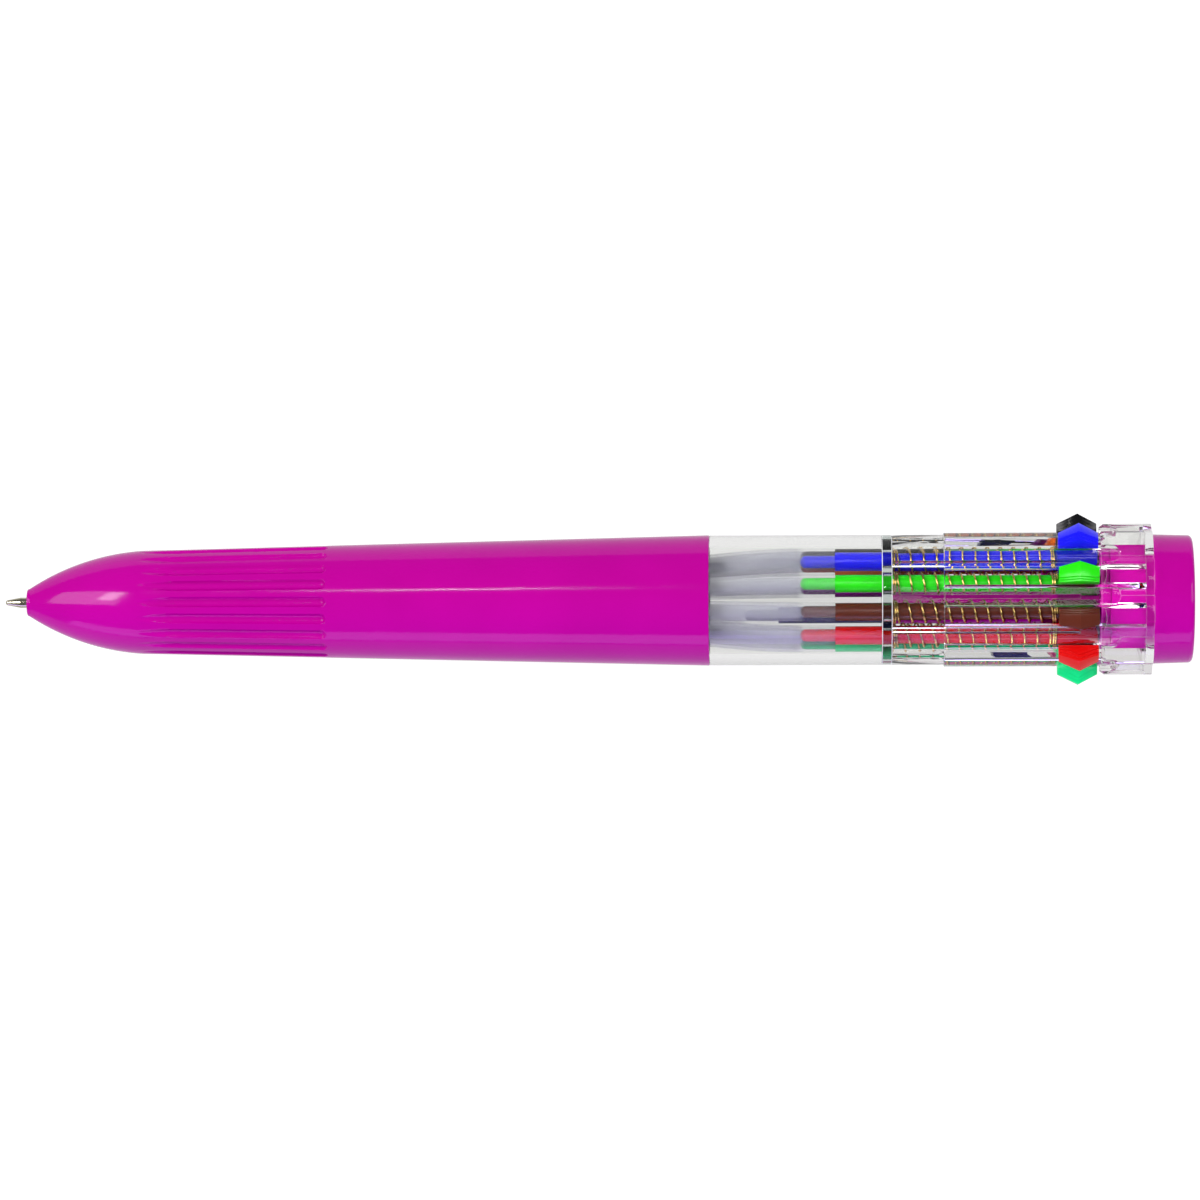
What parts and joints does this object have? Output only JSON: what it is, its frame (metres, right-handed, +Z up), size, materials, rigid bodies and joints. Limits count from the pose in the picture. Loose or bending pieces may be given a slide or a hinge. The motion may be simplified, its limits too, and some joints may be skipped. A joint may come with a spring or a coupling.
{
  "type": "multicolor click pen",
  "caption": "Thick clear-backed ballpoint pen; each coloured slider pushes its own sprung refill out of the nose.",
  "frame": {"origin": "under the middle of the pen, on the surface that it lies on", "axes": "X along the pen, nose towards -X and end plug towards +X; +Z up from the surface; the pen's axis is at z = 10.31 mm"},
  "size_m": [0.1466, 0.021, 0.0206],
  "materials": {
    "magenta_plastic": "gloss moulded, lightly translucent",
    "clear_plastic": "clear moulded polystyrene",
    "refill_tube": "frosted translucent polypropylene",
    "tip_metal": "nickel silver, turned",
    "spring_wire": "brass-plated wire",
    "slider_green": "gloss moulded",
    "slider_blue": "gloss moulded",
    "slider_black": "gloss moulded",
    "slider_orange": "gloss moulded",
    "slider_purple": "gloss moulded",
    "slider_navy": "gloss moulded",
    "slider_pink": "gloss moulded",
    "slider_teal": "gloss moulded",
    "slider_red": "gloss moulded",
    "slider_brown": "gloss moulded"
  },
  "bodies": {
    "casing": {"lower_barrel": "magenta_plastic", "window_tube": "clear_plastic", "guide_disc": "clear_plastic", "slotted_barrel": "clear_plastic", "end_plug": "magenta_plastic", "core_post": "magenta_plastic", "spring_green": "spring_wire", "spring_blue": "spring_wire", "spring_black": "spring_wire", "spring_orange": "spring_wire", "spring_purple": "spring_wire", "spring_navy": "spring_wire", "spring_pink": "spring_wire", "spring_teal": "spring_wire", "spring_red": "spring_wire", "spring_brown": "spring_wire"},
    "slider_green": {"slider_green": "slider_green", "refill_tube_green": "refill_tube"},
    "tip_green": {"refill_tip_green": "tip_metal"},
    "slider_blue": {"slider_blue": "slider_blue", "refill_tube_blue": "refill_tube"},
    "tip_blue": {"refill_tip_blue": "tip_metal"},
    "slider_black": {"slider_black": "slider_black", "refill_tube_black": "refill_tube"},
    "tip_black": {"refill_tip_black": "tip_metal"},
    "slider_orange": {"slider_orange": "slider_orange", "refill_tube_orange": "refill_tube"},
    "tip_orange": {"refill_tip_orange": "tip_metal"},
    "slider_purple": {"slider_purple": "slider_purple", "refill_tube_purple": "refill_tube"},
    "tip_purple": {"refill_tip_purple": "tip_metal"},
    "slider_navy": {"slider_navy": "slider_navy", "refill_tube_navy": "refill_tube"},
    "tip_navy": {"refill_tip_navy": "tip_metal"},
    "slider_pink": {"slider_pink": "slider_pink", "refill_tube_pink": "refill_tube"},
    "tip_pink": {"refill_tip_pink": "tip_metal"},
    "slider_teal": {"slider_teal": "slider_teal", "refill_tube_teal": "refill_tube"},
    "tip_teal": {"refill_tip_teal": "tip_metal"},
    "slider_red": {"slider_red": "slider_red", "refill_tube_red": "refill_tube"},
    "tip_red": {"refill_tip_red": "tip_metal"},
    "slider_brown": {"slider_brown": "slider_brown", "refill_tube_brown": "refill_tube"},
    "tip_brown": {"refill_tip_brown": "tip_metal"}
  },
  "joints": [
    {"name": "slide_green", "type": "slide", "parent": "casing", "child": "slider_green", "axis": [-1, 0, 0], "range_m": [0, 0.007], "stiffness_N_per_m": 60, "springref_m": -0.003, "deforming": ["spring_green", "refill_tube_green", "refill_tip_green"]},
    {"name": "swing_green", "type": "hinge", "parent": "slider_green", "child": "tip_green", "pos_m": [-0.07907, 0, 0.01031], "axis": [0, 0.9511, -0.309], "range_deg": [0, 9.51]},
    {"name": "slide_blue", "type": "slide", "parent": "casing", "child": "slider_blue", "axis": [-1, 0, 0], "range_m": [0, 0.007], "stiffness_N_per_m": 60, "springref_m": -0.003, "deforming": ["spring_blue", "refill_tube_blue", "refill_tip_blue"]},
    {"name": "swing_blue", "type": "hinge", "parent": "slider_blue", "child": "tip_blue", "pos_m": [-0.07907, 0, 0.01031], "axis": [0, 0.5878, -0.809], "range_deg": [0, 9.51]},
    {"name": "slide_black", "type": "slide", "parent": "casing", "child": "slider_black", "axis": [-1, 0, 0], "range_m": [0, 0.007], "stiffness_N_per_m": 60, "springref_m": -0.003, "deforming": ["spring_black", "refill_tube_black", "refill_tip_black"]},
    {"name": "swing_black", "type": "hinge", "parent": "slider_black", "child": "tip_black", "pos_m": [-0.07907, 0, 0.01031], "axis": [0, 0, -1], "range_deg": [0, 9.51]},
    {"name": "slide_orange", "type": "slide", "parent": "casing", "child": "slider_orange", "axis": [-1, 0, 0], "range_m": [0, 0.007], "stiffness_N_per_m": 60, "springref_m": -0.003, "deforming": ["spring_orange", "refill_tube_orange", "refill_tip_orange"]},
    {"name": "swing_orange", "type": "hinge", "parent": "slider_orange", "child": "tip_orange", "pos_m": [-0.07907, 0, 0.01031], "axis": [0, -0.5878, -0.809], "range_deg": [0, 9.51]},
    {"name": "slide_purple", "type": "slide", "parent": "casing", "child": "slider_purple", "axis": [-1, 0, 0], "range_m": [0, 0.007], "stiffness_N_per_m": 60, "springref_m": -0.003, "deforming": ["spring_purple", "refill_tube_purple", "refill_tip_purple"]},
    {"name": "swing_purple", "type": "hinge", "parent": "slider_purple", "child": "tip_purple", "pos_m": [-0.07907, 0, 0.01031], "axis": [0, -0.9511, -0.309], "range_deg": [0, 9.51]},
    {"name": "slide_navy", "type": "slide", "parent": "casing", "child": "slider_navy", "axis": [-1, 0, 0], "range_m": [-0.007, 0], "deforming": ["spring_navy", "refill_tube_navy", "refill_tip_navy"]},
    {"name": "swing_navy", "type": "hinge", "parent": "slider_navy", "child": "tip_navy", "pos_m": [-0.08607, 0, 0.01031], "axis": [0, -0.9511, 0.309], "range_deg": [-9.51, 0]},
    {"name": "slide_pink", "type": "slide", "parent": "casing", "child": "slider_pink", "axis": [-1, 0, 0], "range_m": [0, 0.007], "stiffness_N_per_m": 60, "springref_m": -0.003, "deforming": ["spring_pink", "refill_tube_pink", "refill_tip_pink"]},
    {"name": "swing_pink", "type": "hinge", "parent": "slider_pink", "child": "tip_pink", "pos_m": [-0.07907, 0, 0.01031], "axis": [0, -0.5878, 0.809], "range_deg": [0, 9.51]},
    {"name": "slide_teal", "type": "slide", "parent": "casing", "child": "slider_teal", "axis": [-1, 0, 0], "range_m": [0, 0.007], "stiffness_N_per_m": 60, "springref_m": -0.003, "deforming": ["spring_teal", "refill_tube_teal", "refill_tip_teal"]},
    {"name": "swing_teal", "type": "hinge", "parent": "slider_teal", "child": "tip_teal", "pos_m": [-0.07907, 0, 0.01031], "axis": [0, 0, 1], "range_deg": [0, 9.51]},
    {"name": "slide_red", "type": "slide", "parent": "casing", "child": "slider_red", "axis": [-1, 0, 0], "range_m": [0, 0.007], "stiffness_N_per_m": 60, "springref_m": -0.003, "deforming": ["spring_red", "refill_tube_red", "refill_tip_red"]},
    {"name": "swing_red", "type": "hinge", "parent": "slider_red", "child": "tip_red", "pos_m": [-0.07907, 0, 0.01031], "axis": [0, 0.5878, 0.809], "range_deg": [0, 9.51]},
    {"name": "slide_brown", "type": "slide", "parent": "casing", "child": "slider_brown", "axis": [-1, 0, 0], "range_m": [0, 0.007], "stiffness_N_per_m": 60, "springref_m": -0.003, "deforming": ["spring_brown", "refill_tube_brown", "refill_tip_brown"]},
    {"name": "swing_brown", "type": "hinge", "parent": "slider_brown", "child": "tip_brown", "pos_m": [-0.07907, 0, 0.01031], "axis": [0, 0.9511, 0.309], "range_deg": [0, 9.51]}
  ],
  "couplings": [
    {"joint": "swing_green", "follows": "slide_green", "rad_per_m": 23.685},
    {"joint": "swing_blue", "follows": "slide_blue", "rad_per_m": 23.685},
    {"joint": "swing_black", "follows": "slide_black", "rad_per_m": 23.685},
    {"joint": "swing_orange", "follows": "slide_orange", "rad_per_m": 23.685},
    {"joint": "swing_purple", "follows": "slide_purple", "rad_per_m": 23.685},
    {"joint": "swing_navy", "follows": "slide_navy", "rad_per_m": 23.685},
    {"joint": "swing_pink", "follows": "slide_pink", "rad_per_m": 23.685},
    {"joint": "swing_teal", "follows": "slide_teal", "rad_per_m": 23.685},
    {"joint": "swing_red", "follows": "slide_red", "rad_per_m": 23.685},
    {"joint": "swing_brown", "follows": "slide_brown", "rad_per_m": 23.685}
  ]
}
